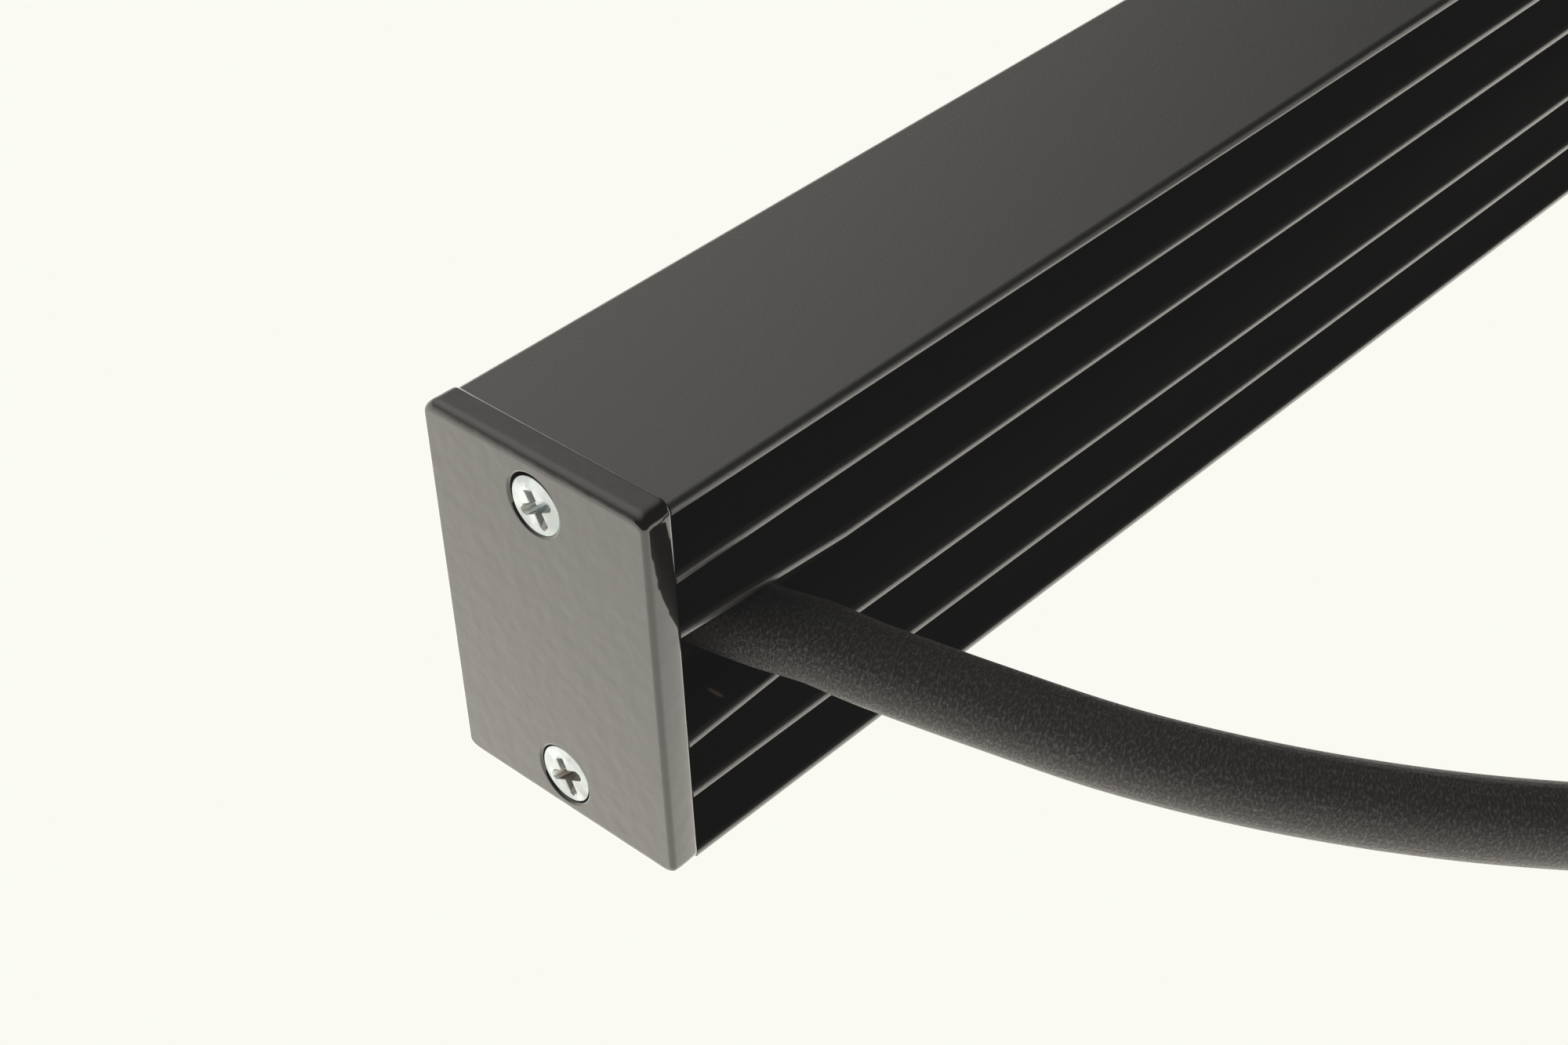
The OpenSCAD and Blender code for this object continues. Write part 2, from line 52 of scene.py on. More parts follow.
def add_node(tree, kind, inputs=(), **settings):
    made = tree.nodes.new(kind)
    for name, value in settings.items():
        setattr(made, name, value)
    for key, value in dict(inputs).items():
        if isinstance(value, bpy.types.NodeSocket):
            tree.links.new(value, made.inputs[key])
        else:
            made.inputs[key].default_value = value
    return made


def new_finish(name, colour, roughness, **sockets):
    finish = bpy.data.materials.new(name)
    finish.use_nodes = True
    shader = finish.node_tree.nodes["Principled BSDF"]
    shader.inputs["Base Color"].default_value = linear(colour)
    shader.inputs["Roughness"].default_value = roughness
    for key, value in sockets.items():
        shader.inputs[key.replace("_", " ")].default_value = value
    place = add_node(finish.node_tree, "ShaderNodeTexCoord").outputs["Object"]
    return finish, finish.node_tree, shader.inputs, place


def dress(finish, *names):
    for name in names:
        nodes[name].material_slots[0].material = finish


# Black anodised aluminium: nearly black and satin, with faint die lines drawn along the length and
# an etched grit that softens what it mirrors. The grit is made coarser here so that it shows. A short
# nick beside the hole is painted pale and matt: bare, warm metal in part, and a painted glint.
black_dye = "#222221"
bare_metal_glint = "#d8bfa6"
anodised, tree, shader, place = new_finish("black_anodised_aluminium", black_dye, 0.36, IOR=1.48)
die_line_mm = 0.35
die_line_scale = (0.006, 1, 1)
drawn = add_node(tree, "ShaderNodeMapping", {"Vector": place, "Scale": die_line_scale})
die_lines = add_node(tree, "ShaderNodeTexNoise", {
    "Vector": drawn.outputs["Vector"], "Scale": 1 / (die_line_mm * mm), "Detail": 3.0})
satin = add_node(tree, "ShaderNodeMapRange", {
    "Value": die_lines.outputs["Fac"], "From Min": 0.3, "From Max": 0.7, "To Min": 0.34, "To Max": 0.38})
tree.links.new(satin.outputs["Result"], shader["Roughness"])
relief = add_node(tree, "ShaderNodeBump", {
    "Height": die_lines.outputs["Fac"], "Strength": 0.08, "Distance": 0.01 * mm})
etch_mm = 0.28
etch = add_node(tree, "ShaderNodeTexNoise", {"Vector": place, "Scale": 1 / (etch_mm * mm), "Detail": 2.0})
grit = add_node(tree, "ShaderNodeBump", {
    "Height": etch.outputs["Fac"], "Normal": relief.outputs["Normal"],
    "Strength": 0.3, "Distance": 0.05 * mm})
tree.links.new(grit.outputs["Normal"], shader["Normal"])
# Painted glint: a small pale, matt patch on the fin beside the hole. It is partly bare metal and partly a
# painted highlight where no reflection reaches.
nick_glint_at = (242.0 * mm, 9.5 * mm, 12.7 * mm)
nick_glint_half = (0.24 * mm, 1.0 * mm, 0.5 * mm)
from_nick_glint = add_node(tree, "ShaderNodeMapping", {
    "Vector": place, "Location": nick_glint_at, "Scale": nick_glint_half}, vector_type="TEXTURE")
nick_glint_gap = add_node(tree, "ShaderNodeVectorMath", {0: from_nick_glint.outputs["Vector"]}, operation="LENGTH")
nick_glint_mask = add_node(tree, "ShaderNodeMapRange", {
    "Value": nick_glint_gap.outputs["Value"], "From Min": 1.0, "From Max": 0.5})
nick_painted_glint = add_node(tree, "ShaderNodeMix", {
    0: nick_glint_mask.outputs["Result"], 6: linear(black_dye), 7: linear(bare_metal_glint)}, data_type="RGBA")
tree.links.new(nick_painted_glint.outputs[2], shader["Base Color"])
dress(anodised, "housing")


# LED strip: a flexible printed board stuck to the light side of the web with adhesive tape.
# It can be cut to length across any pair of bare copper pads, one pair every 50 mm.
strip_end_x = 224
section_l = 50
board_y = 1.7
pad_half_l = 2.2
pad_half_w = 1.1
pad_aside = 3.75

# Acrylic foam tape: off-white and dull, with the open cells of the foam on its cut edges.
foam, tree, shader, place = new_finish("acrylic_foam_tape", "#d9d8d2", 0.7)
cell_mm = 0.25
cells = add_node(tree, "ShaderNodeTexNoise", {"Vector": place, "Scale": 1 / (cell_mm * mm), "Detail": 2.0})
pores = add_node(tree, "ShaderNodeBump", {
    "Height": cells.outputs["Fac"], "Strength": 0.4, "Distance": 0.05 * mm})
tree.links.new(pores.outputs["Normal"], shader["Normal"])
dress(foam, "strip_tape")

# White solder mask: a smooth lacquer with a soft gloss, open over the bare copper pads.
mask_white = "#efeee8"
pad_copper = "#c99b68"
mask, tree, shader, place = new_finish("white_solder_mask", mask_white, 0.34)
axes = add_node(tree, "ShaderNodeSeparateXYZ", {"Vector": place}).outputs
from_cut = add_node(tree, "ShaderNodeMath", {0: axes["X"], 1: strip_end_x * mm}, operation="SUBTRACT")
cut_gap = add_node(tree, "ShaderNodeMath", {
    0: from_cut.outputs[0], 1: section_l / 2 * mm}, operation="PINGPONG")
near_cut = add_node(tree, "ShaderNodeMath", {
    0: cut_gap.outputs[0], 1: pad_half_l * mm}, operation="LESS_THAN")
across = add_node(tree, "ShaderNodeMath", {0: axes["Z"], 1: mid_z * mm}, operation="SUBTRACT")
aside = add_node(tree, "ShaderNodeMath", {0: across.outputs[0]}, operation="ABSOLUTE")
on_track = add_node(tree, "ShaderNodeMath", {
    0: aside.outputs[0], 1: pad_aside * mm, 2: pad_half_w * mm}, operation="COMPARE")
bare = add_node(tree, "ShaderNodeMath", {
    0: near_cut.outputs[0], 1: on_track.outputs[0]}, operation="MULTIPLY")
pads = add_node(tree, "ShaderNodeMix", {
    0: bare.outputs[0], 6: linear(mask_white), 7: linear(pad_copper)}, data_type="RGBA")
tree.links.new(pads.outputs[2], shader["Base Color"])
tree.links.new(bare.outputs[0], shader["Metallic"])
dress(mask, "strip_board")


# LED packages: white moulded cups soldered on to the board in an even row. Each has a round window
# of phosphor over its chips and three tinned legs on both sides.
led_pitch = section_l / 3
led_count = 27
led_half = 2.5 * mm
led_h = 1.6 * mm
rim_bevel = 0.1 * mm
rim_share = 0.97
window_r = 0.8 * led_half
gel_r = 0.74 * led_half
gel_depth = 0.25 * mm
leg_size = (0.2, 0.7, 0.9)
leg_aside = 2.6
leg_pitch = 1.6
spokes = 32


def join_rings(bm, rings, smooth=False):
    faces = []
    for near, far in zip(rings, rings[1:]):
        for k in range(len(near)):
            faces.append(bm.faces.new((near[k - 1], near[k], far[k], far[k - 1])))
            faces[-1].smooth = smooth
    return faces


def to_mesh(name, bm):
    bmesh.ops.recalc_face_normals(bm, faces=bm.faces)
    mesh = bpy.data.meshes.new(name)
    bm.to_mesh(mesh)
    bm.free()
    return mesh


def add_piece(name, mesh, *finishes):
    for finish in finishes:
        mesh.materials.append(finish)
    piece = bpy.data.objects.new(name, mesh)
    bpy.context.scene.collection.objects.link(piece)
    return piece


def new_tree(name, **sizes):
    tree = bpy.data.node_groups.new(name, "GeometryNodeTree")
    tree.interface.new_socket("Geometry", in_out="INPUT", socket_type="NodeSocketGeometry")
    tree.interface.new_socket("Geometry", in_out="OUTPUT", socket_type="NodeSocketGeometry")
    for size, value in sizes.items():
        kind = {int: "NodeSocketInt", float: "NodeSocketFloat"}.get(type(value), "NodeSocketVector")
        tree.interface.new_socket(size.replace("_", " "), in_out="INPUT", socket_type=kind)
    return tree, add_node(tree, "NodeGroupInput").outputs


def grow(name, unit, tree, **sizes):
    piece = add_piece(name, unit)
    modifier = piece.modifiers.new(name, "NODES")
    modifier.node_group = tree
    sockets = {item.name: item.identifier for item in tree.interface.items_tree if item.in_out == "INPUT"}
    for size, value in sizes.items():
        modifier[sockets[size.replace("_", " ")]] = value
    bpy.context.view_layer.update()
    mesh = bpy.data.meshes.new_from_object(piece.evaluated_get(bpy.context.evaluated_depsgraph_get()))
    mesh.name = name
    piece.modifiers.remove(modifier)
    piece.data = mesh
    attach(piece, "root")
    return piece


def finish_tree(tree, geometry, *finishes):
    made = add_node(tree, "GeometryNodeRealizeInstances", {"Geometry": geometry})
    part = add_node(tree, "GeometryNodeInputNamedAttribute", {"Name": "part"}, data_type="INT")
    for number, finish in enumerate(finishes):
        chosen = add_node(tree, "FunctionNodeCompare", {
            2: part.outputs["Attribute"], 3: number}, data_type="INT", operation="EQUAL")
        made = add_node(tree, "GeometryNodeSetMaterial", {
            "Geometry": made.outputs["Geometry"], "Selection": chosen.outputs["Result"],
            "Material": finish})
    add_node(tree, "NodeGroupOutput", {"Geometry": made.outputs["Geometry"]})


def row_along_strip(name, unit, finishes, count, first, step):
    sizes = {"Count": count, "First": Vector(first) * mm, "Step": Vector(step) * mm}
    tree, given = new_tree(name, **sizes)
    line = add_node(tree, "GeometryNodeMeshLine", {
        "Count": given["Count"], "Start Location": given["First"], "Offset": given["Step"]})
    placed = add_node(tree, "GeometryNodeInstanceOnPoints", {
        "Points": line.outputs["Mesh"], "Instance": given["Geometry"]})
    finish_tree(tree, placed.outputs["Instances"], *finishes)
    return grow(name, unit, tree, **sizes)


def add_block(bm, centre, size, number, layer):
    corners = bmesh.ops.create_cube(bm, size=1, matrix=Matrix.Translation(Vector(centre) * mm)
                                    @ Matrix.Diagonal((*[s * mm for s in size], 1)))["verts"]
    for face in {face for corner in corners for face in corner.link_faces}:
        face[layer] = number


bm = bmesh.new()
part = bm.faces.layers.int.new("part")
rings = [[], [], [], [], []]
for i in range(spokes):
    a = 2 * math.pi * (i + 0.5) / spokes
    c, s = math.cos(a), math.sin(a)
    wall = led_half / max(abs(c), abs(s))
    for ring, (reach, y) in zip(rings, (
            (wall, 0), (wall, rim_bevel - led_h), (rim_share * wall, -led_h), (window_r, -led_h),
            (gel_r, gel_depth - led_h))):
        ring.append(bm.verts.new((reach * c, y, reach * s)))
join_rings(bm, rings)
bm.faces.new(rings[0])
bm.faces.new(rings[-1])[part] = 1
for side in (-1, 1):
    for leg in (-1, 0, 1):
        add_block(bm, (side * leg_aside, -leg_size[1] / 2, leg * leg_pitch), leg_size, 2, part)
package = to_mesh("led_package", bm)

# Moulded white polyamide: a bright matt cup, slightly clouded where the melt flowed.
cup, tree, shader, place = new_finish("white_moulded_polyamide", "#f1f0ea", 0.45)
flow_mm = 1.2
flow = add_node(tree, "ShaderNodeTexNoise", {"Vector": place, "Scale": 1 / (flow_mm * mm)})
cloud = add_node(tree, "ShaderNodeMapRange", {"Value": flow.outputs["Fac"], "To Min": 0.38, "To Max": 0.52})
tree.links.new(cloud.outputs["Result"], shader["Roughness"])

# Phosphor gel: clear silicone full of yellow powder, glossy on top and grainy inside. The powder is
# drawn coarser than it is so that it shows.
gel, tree, shader, place = new_finish("yellow_phosphor_gel", "#e9c53d", 0.2, IOR=1.41)
powder_mm = 0.05
powder = add_node(tree, "ShaderNodeTexNoise", {"Vector": place, "Scale": 1 / (powder_mm * mm)})
speckle = add_node(tree, "ShaderNodeMix", {
    0: powder.outputs["Fac"], 6: linear("#e2b82c"), 7: linear("#f1d768")}, data_type="RGBA")
tree.links.new(speckle.outputs[2], shader["Base Color"])

# Tin and solder: a bright grey metal, frosted where it froze.
tin, tree, shader, place = new_finish("frosted_tin", "#b9bbbd", 0.35, Metallic=1.0)
frost_mm = 0.15
frost = add_node(tree, "ShaderNodeTexNoise", {"Vector": place, "Scale": 1 / (frost_mm * mm)})
dull = add_node(tree, "ShaderNodeMapRange", {"Value": frost.outputs["Fac"], "To Min": 0.25, "To Max": 0.5})
tree.links.new(dull.outputs["Result"], shader["Roughness"])

leds = row_along_strip("led_row", package, (cup, gel, tin), led_count,
                       (strip_end_x - led_pitch / 2, board_y, mid_z), (-led_pitch, 0, 0))
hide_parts("led_packages")


# Series resistors: one ceramic chip with tinned ends in every section of the strip, under black glaze.
# They are soldered on between the first two LEDs of their section.
chip_count = led_count // 3
chip_size = (2.3, 0.6, 1.6)
chip_end_size = (0.45, 0.58, 1.58)
chip_end_x = (chip_size[0] + chip_end_size[0]) / 2
bm = bmesh.new()
part = bm.faces.layers.int.new("part")
add_block(bm, (0, -chip_size[1] / 2, 0), chip_size, 0, part)
for end in (-1, 1):
    add_block(bm, (end * chip_end_x, -chip_size[1] / 2, 0), chip_end_size, 1, part)
chip = to_mesh("resistor_chip", bm)

# Black glaze: a glossy skin of glass with a little waviness.
glaze, tree, shader, place = new_finish("black_glass_glaze", "#161616", 0.25)
wave_mm = 0.6
waves = add_node(tree, "ShaderNodeTexNoise", {"Vector": place, "Scale": 1 / (wave_mm * mm)})
wavy = add_node(tree, "ShaderNodeBump", {
    "Height": waves.outputs["Fac"], "Strength": 0.3, "Distance": 0.02 * mm})
tree.links.new(wavy.outputs["Normal"], shader["Normal"])

chips = row_along_strip("resistor_row", chip, (glaze, tin), chip_count,
                        (strip_end_x - led_pitch, board_y, mid_z), (-section_l, 0, 0))
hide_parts("strip_resistors")


# Wiring inside: two insulated cores run from the cord to the strip and are soldered to its end pads.
# A nylon cable tie on the sheath stops the cord from being pulled out of its hole.
dress(tin, "solder_joints")

# PVC insulation: smooth and slightly glossy, with the faint lines of the extruder along it.
line_mm = 0.2
line_scale = (0.02, 1, 1)
for name, colour in (("core_positive", "#a8281f"), ("core_negative", "#232325")):
    pvc, tree, shader, place = new_finish("pvc_" + name, colour, 0.4)
    drawn = add_node(tree, "ShaderNodeMapping", {"Vector": place, "Scale": line_scale})
    lines = add_node(tree, "ShaderNodeTexNoise", {
        "Vector": drawn.outputs["Vector"], "Scale": 1 / (line_mm * mm)})
    drag = add_node(tree, "ShaderNodeBump", {
        "Height": lines.outputs["Fac"], "Strength": 0.3, "Distance": 0.01 * mm})
    tree.links.new(drag.outputs["Normal"], shader["Normal"])
    dress(pvc, name)

# Natural nylon: milky and a little translucent, with a fine moulded grain.
nylon, tree, shader, place = new_finish("natural_nylon", "#e6e2d6", 0.42, IOR=1.53, Subsurface_Weight=0.3,
                                        Subsurface_Scale=1.5 * mm)
spark_mm = 0.2
spark = add_node(tree, "ShaderNodeTexNoise", {"Vector": place, "Scale": 1 / (spark_mm * mm), "Detail": 2.0})
grained = add_node(tree, "ShaderNodeBump", {
    "Height": spark.outputs["Fac"], "Strength": 0.35, "Distance": 0.02 * mm})
tree.links.new(grained.outputs["Normal"], shader["Normal"])
dress(nylon, "strain_relief_tie", "connector_chuck")


# Cord: a round rubber-sheathed cable that leaves the hole in the back, sinks to the table and is
# wound into a flat coil of two layers, which a hook-and-loop strap holds. The cord is one tube on
# the route that the solids follow, and the strap goes once round all the turns and laps on itself.
cord_r = 3.25
cord_sides = 32
route_step = 1.6
exit_point = Vector((239, 11.6, mid_z))
table_z = 4.65
upper_z = 11.75
connector_z = 9.5
lead_route = [(0, -13.6, 0), (0, -10, 0), (-0.1, -6, -0.02), (-0.5, 0, -0.08), (-1.6, 4.6, -0.095),
              (-2.9, 9, -0.04), (-6.3, 17.8, 0.08), (-9.8, 26.3, 0.19), (-14.2, 34.1, 0.305),
              (-19.4, 41.2, 0.435), (-25.3, 47.9, 0.57), (-32, 54.3, 0.715), (-40, 62, 0.85),
              (-48.2, 70.8, 0.945), (-56.5, 80.5, 1), (-64, 90, 1)]
tail_route = [(0, 0), (6, 0), (12, 0.3), (18, 0.7), (24, 1), (30, 1), (60, 1)]
lead_heading = math.radians(127)
ahead = Vector((math.cos(lead_heading), math.sin(lead_heading)))
run_in = 6.5
turn_step = 7.1
coil_r = 25
spiral_turns = 3 + 53 / 720
climb_turns = 0.5
coil_in = exit_point.xy + Vector(lead_route[-1][:2]) + run_in * ahead
coil_outer_r = coil_r + turn_step * spiral_turns
coil_centre = coil_in + run_in * ahead + coil_outer_r * Vector((-ahead.y, ahead.x))
coil_rings = 148


def coil_point(t):
    turns_out = t * t / climb_turns + climb_turns / 4 if abs(t) < climb_turns / 2 else abs(t)
    r = coil_r + turn_step * turns_out
    a = lead_heading - math.pi / 2 + 2 * math.pi * (t + spiral_turns)
    rise = min(1, max(0, t / climb_turns + 0.5))
    z = table_z + turn_step * rise * rise * (3 - 2 * rise)
    return Vector((coil_centre.x + r * math.cos(a), coil_centre.y + r * math.sin(a), z))


def smooth_route(points, step):
    fine = []
    for i in range(len(points) - 1):
        before, a, b, after = (points[max(0, min(len(points) - 1, i + k))] for k in (-1, 0, 1, 2))
        count = max(1, round((b - a).length / step))
        for k in range(count):
            t = k / count
            fine.append(0.5 * (2 * a + (b - before) * t + (2 * before - 5 * a + 4 * b - after) * t * t
                               + (3 * a - before - 3 * b + after) * t ** 3))
    return fine + [points[-1]]


def tube_mesh(name, points, r, sides):
    bm = bmesh.new()
    uv = bm.loops.layers.uv.new("UVMap")
    rings, along, side = [], [0], Vector((0, 0, 1))
    for i, p in enumerate(points):
        run = (points[min(i + 1, len(points) - 1)] - points[max(i - 1, 0)]).normalized()
        side = (side - side.dot(run) * run).normalized()
        other = run.cross(side)
        rings.append([bm.verts.new(p + r * (math.cos(a) * side + math.sin(a) * other))
                      for a in (2 * math.pi * k / sides for k in range(sides))])
        if i:
            along.append(along[-1] + (p - points[i - 1]).length)
    for i in range(len(points) - 1):
        for k in range(sides):
            corners = [(i, k), (i, k + 1), (i + 1, k + 1), (i + 1, k)]
            face = bm.faces.new([rings[a][b % sides] for a, b in corners])
            face.smooth = True
            for loop, (a, b) in zip(face.loops, corners):
                loop[uv].uv = (2 * math.pi * r * b / sides, along[a])
    bm.faces.new(reversed(rings[0]))
    bm.faces.new(rings[-1])
    return to_mesh(name, bm)


route = [exit_point + Vector((x, y, drop * (table_z - exit_point.z))) for x, y, drop in lead_route]
route.append(Vector((*coil_in, table_z)))
route += [coil_point(spiral_turns * (2 * i / coil_rings - 1)) for i in range(coil_rings + 1)]
tail_start = Vector((coil_centre.x - run_in, coil_centre.y + coil_outer_r, upper_z))
route += [tail_start + Vector((-along, 0, drop * (connector_z - upper_z))) for along, drop in tail_route]
fine_route = [p * mm for p in smooth_route(route, route_step)]

# Rubber sheath: soft black and matt. The talc it is cured in leaves a grain of paler specks, longer
# round the cord than along it, that catch the light. They are drawn coarser so that they show.
rubber, tree, shader, place = new_finish("matt_black_rubber", "#2b2928", 0.54, IOR=1.5,
                                         Specular_IOR_Level=0.27)
grain_mm = 0.22
wrap_stretch = 1.8
wrapped = add_node(tree, "ShaderNodeMapping", {
    "Vector": place.node.outputs["UV"], "Scale": (1 / wrap_stretch, 1, 1)})
grain = add_node(tree, "ShaderNodeTexNoise", {
    "Vector": wrapped.outputs["Vector"], "Scale": 1 / (grain_mm * mm), "Detail": 3.0, "Roughness": 0.65})
dusted = add_node(tree, "ShaderNodeMapRange", {
    "Value": grain.outputs["Fac"], "From Min": 0.48, "From Max": 0.76})
talc = add_node(tree, "ShaderNodeMix", {
    0: dusted.outputs["Result"], 6: linear("#0f0e0e"), 7: linear("#4f4b49")}, data_type="RGBA")
tree.links.new(talc.outputs[2], shader["Base Color"])
skin = add_node(tree, "ShaderNodeBump", {
    "Height": grain.outputs["Fac"], "Strength": 1.0, "Distance": 0.2 * mm})
tree.links.new(skin.outputs["Normal"], shader["Normal"])
cord = add_piece("cord", tube_mesh("cord", fine_route, cord_r * mm, cord_sides), rubber)
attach(cord, "root")
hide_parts("cord_lead", "cord_coil", "cord_tail")

# Hook-and-loop webbing: black woven nylon with a nap of loops, dull with a soft sheen at the edges.
strap_turn = lead_heading + math.pi / 2
nap, tree, shader, place = new_finish("woven_hook_and_loop_nylon", "#202023", 0.85, Sheen_Weight=0.5,
                                      Sheen_Roughness=0.4)
thread_mm = 0.55
turned = add_node(tree, "ShaderNodeMapping", {"Vector": place, "Rotation": (0, 0, -strap_turn)})
axes = add_node(tree, "ShaderNodeSeparateXYZ", {"Vector": turned.outputs["Vector"]}).outputs
round_loop = add_node(tree, "ShaderNodeMath", {0: axes["X"], 1: axes["Z"]}, operation="ADD")
threads_over = []
for along in (round_loop.outputs[0], axes["Y"]):
    phase = add_node(tree, "ShaderNodeMath", {
        0: along, 1: 2 * math.pi / (thread_mm * mm)}, operation="MULTIPLY")
    threads_over.append(add_node(tree, "ShaderNodeMath", {0: phase.outputs[0]}, operation="SINE"))
weft, warp = threads_over
crossing = add_node(tree, "ShaderNodeMath", {0: weft.outputs[0], 1: warp.outputs[0]}, operation="MULTIPLY")
weave_share = 0.35
loop_mm = 0.2
loops = add_node(tree, "ShaderNodeTexNoise", {"Vector": place, "Scale": 1 / (loop_mm * mm), "Detail": 3.0})
height = add_node(tree, "ShaderNodeMath", {
    0: crossing.outputs[0], 1: weave_share, 2: loops.outputs["Fac"]}, operation="MULTIPLY_ADD")
weave = add_node(tree, "ShaderNodeBump", {
    "Height": height.outputs[0], "Strength": 0.9, "Distance": 0.15 * mm})
tree.links.new(weave.outputs["Normal"], shader["Normal"])
# Painted shade: the colour follows the weave's relief, darker in the hollows between the threads, and the
# loops' nap adds a random tone.
weave_shade_mask = add_node(tree, "ShaderNodeMapRange", {
    "Value": height.outputs[0], "From Min": 0.1, "From Max": 0.9})
painted_weave_shade = add_node(tree, "ShaderNodeMix", {
    0: weave_shade_mask.outputs["Result"], 6: linear("#121214"), 7: linear("#333338")}, data_type="RGBA")
tree.links.new(painted_weave_shade.outputs[2], shader["Base Color"])

strap_r = 35.49
strap_z = 8.2
strap_at = coil_centre + strap_r * Vector((math.cos(strap_turn), math.sin(strap_turn)))
strap_sizes = {"Loop_width": 23.86 * mm, "Loop_height": 15.4 * mm, "Corner_radius": 4.1 * mm,
               "Strap_width": 8.0 * mm, "Strap_thickness": 1.0 * mm, "Lap_length": 14.0 * mm,
               "Centre": Vector((*strap_at, strap_z)) * mm,
               "Turn": Vector((math.pi / 2, 0, strap_turn))}
tree, given = new_tree("coil_strap", **strap_sizes)
loop = add_node(tree, "GeometryNodeCurvePrimitiveQuadrilateral", {
    "Width": given["Loop width"], "Height": given["Loop height"]})
bend = add_node(tree, "GeometryNodeFilletCurve", {
    "Curve": loop.outputs["Curve"], "Radius": given["Corner radius"], "Count": 10}, mode="POLY")
lap_y = add_node(tree, "ShaderNodeMath", {
    0: given["Loop height"], 1: 0.5, 2: given["Strap thickness"]}, operation="MULTIPLY_ADD")
lap = add_node(tree, "GeometryNodeCurvePrimitiveLine")
for end, share in (("Start", -0.5), ("End", 0.5)):
    lap_x = add_node(tree, "ShaderNodeMath", {0: given["Lap length"], 1: share}, operation="MULTIPLY")
    lap_end = add_node(tree, "ShaderNodeCombineXYZ", {"X": lap_x.outputs[0], "Y": lap_y.outputs[0]})
    tree.links.new(lap_end.outputs["Vector"], lap.inputs[end])
both = add_node(tree, "GeometryNodeJoinGeometry", {"Geometry": bend.outputs["Curve"]})
tree.links.new(lap.outputs["Curve"], both.inputs["Geometry"])
level = add_node(tree, "GeometryNodeSetCurveNormal", {"Curve": both.outputs["Geometry"]}, mode="Z_UP")
section = add_node(tree, "GeometryNodeCurvePrimitiveQuadrilateral", {
    "Width": given["Strap thickness"], "Height": given["Strap width"]})
soft = add_node(tree, "GeometryNodeFilletCurve", {
    "Curve": section.outputs["Curve"], "Radius": 0.3 * mm, "Count": 3}, mode="POLY")
swept = add_node(tree, "GeometryNodeCurveToMesh", {
    "Curve": level.outputs["Curve"], "Profile Curve": soft.outputs["Curve"], "Fill Caps": True})
turned = add_node(tree, "GeometryNodeTransform", {
    "Geometry": swept.outputs["Mesh"], "Translation": given["Centre"], "Rotation": given["Turn"]})
finish_tree(tree, turned.outputs["Geometry"], nap)
strap = grow("coil_strap", bpy.data.meshes.new("coil_strap"), tree, **strap_sizes)
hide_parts("coil_tie")


# Cover: a strip of opal acrylic sheet slid into the two grooves on the light side.
# It hides the LEDs and spreads their light.

# Opal acrylic: milk white with a satin face, so that light sinks in and the edges glow softly. The
# satin is drawn coarser than it is so that it shows.
opal, tree, shader, place = new_finish("opal_acrylic", "#eeece5", 0.3, IOR=1.49, Subsurface_Weight=0.6,
                                       Subsurface_Scale=3 * mm)
satin_mm = 0.25
frosting = add_node(tree, "ShaderNodeTexNoise", {
    "Vector": place, "Scale": 1 / (satin_mm * mm), "Detail": 2.0})
haze = add_node(tree, "ShaderNodeMapRange", {
    "Value": frosting.outputs["Fac"], "To Min": 0.24, "To Max": 0.38})
tree.links.new(haze.outputs["Result"], shader["Roughness"])
ripple = add_node(tree, "ShaderNodeBump", {
    "Height": frosting.outputs["Fac"], "Strength": 0.15, "Distance": 0.01 * mm})
tree.links.new(ripple.outputs["Normal"], shader["Normal"])
dress(opal, "diffuser")


# End caps: flat plates, countersunk and powder-coated, one at each end. They are cut from flat bar, so
# the two long edges are rounder than the cut ones, on which the coat has crowned. The upper hole is
# drilled a little off its screw.
half_l = 250
cap_w = 23.8
cap_h = 35
cap_t = 3
cap_corner_r = 1.25
long_edge_r = 0.9
long_back_r = 0.4
cut_edge_r = 0.45
cut_back_r = 0.5
crown = 0.03
crown_depth = 1.0
screw_reach = 13.25
sink_r = 2.8
sink_wall = 0.3
screw_hole_r = 1.7
sink_profile = [(0, sink_r + 0.1), (0.03, sink_r + 0.02), (0.1, sink_r - 0.1), (sink_wall, sink_r - 0.12),
                (sink_wall + sink_r - screw_hole_r, screw_hole_r), (cap_t, screw_hole_r)]
drill_drift = {-1: (0, 0), 1: (-0.06, 0.16)}
front_steps = 16
back_steps = 10
flat_depths = [1.2, 1.5, 1.8, 2.1]
corner_steps = 8
hole_steps = 48


def edge_inset(depth, r):
    return r - math.sqrt(r * r - (r - depth) ** 2) if depth < r else 0


def cap_ring(bm, depth):
    in_y = edge_inset(depth, cut_edge_r) + edge_inset(cap_t - depth, cut_back_r)
    in_y += crown * (depth - crown_depth) ** 2
    in_z = edge_inset(depth, long_edge_r) + edge_inset(cap_t - depth, long_back_r)
    ring = []
    for quarter, (side_y, side_z) in enumerate(((1, 1), (-1, 1), (-1, -1), (1, -1))):
        for k in range(corner_steps + 1):
            a = math.pi / 2 * (quarter + k / corner_steps)
            y = side_y * (cap_w / 2 - cap_corner_r) + (cap_corner_r - in_y) * math.cos(a)
            z = side_z * (cap_h / 2 - cap_corner_r) + (cap_corner_r - in_z) * math.sin(a)
            ring.append(bm.verts.new((-depth * mm, y * mm, z * mm)))
    return ring


def hole_ring(bm, y, z, depth, r):
    return [bm.verts.new((-depth * mm, (y + r * math.cos(a)) * mm, (z + r * math.sin(a)) * mm))
            for a in (2 * math.pi * k / hole_steps for k in range(hole_steps))]


def fill_between(bm, rings):
    edges = [bm.edges.get((ring[k - 1], ring[k])) for ring in rings for k in range(len(ring))]
    bmesh.ops.triangle_fill(bm, edges=edges, normal=(1, 0, 0))


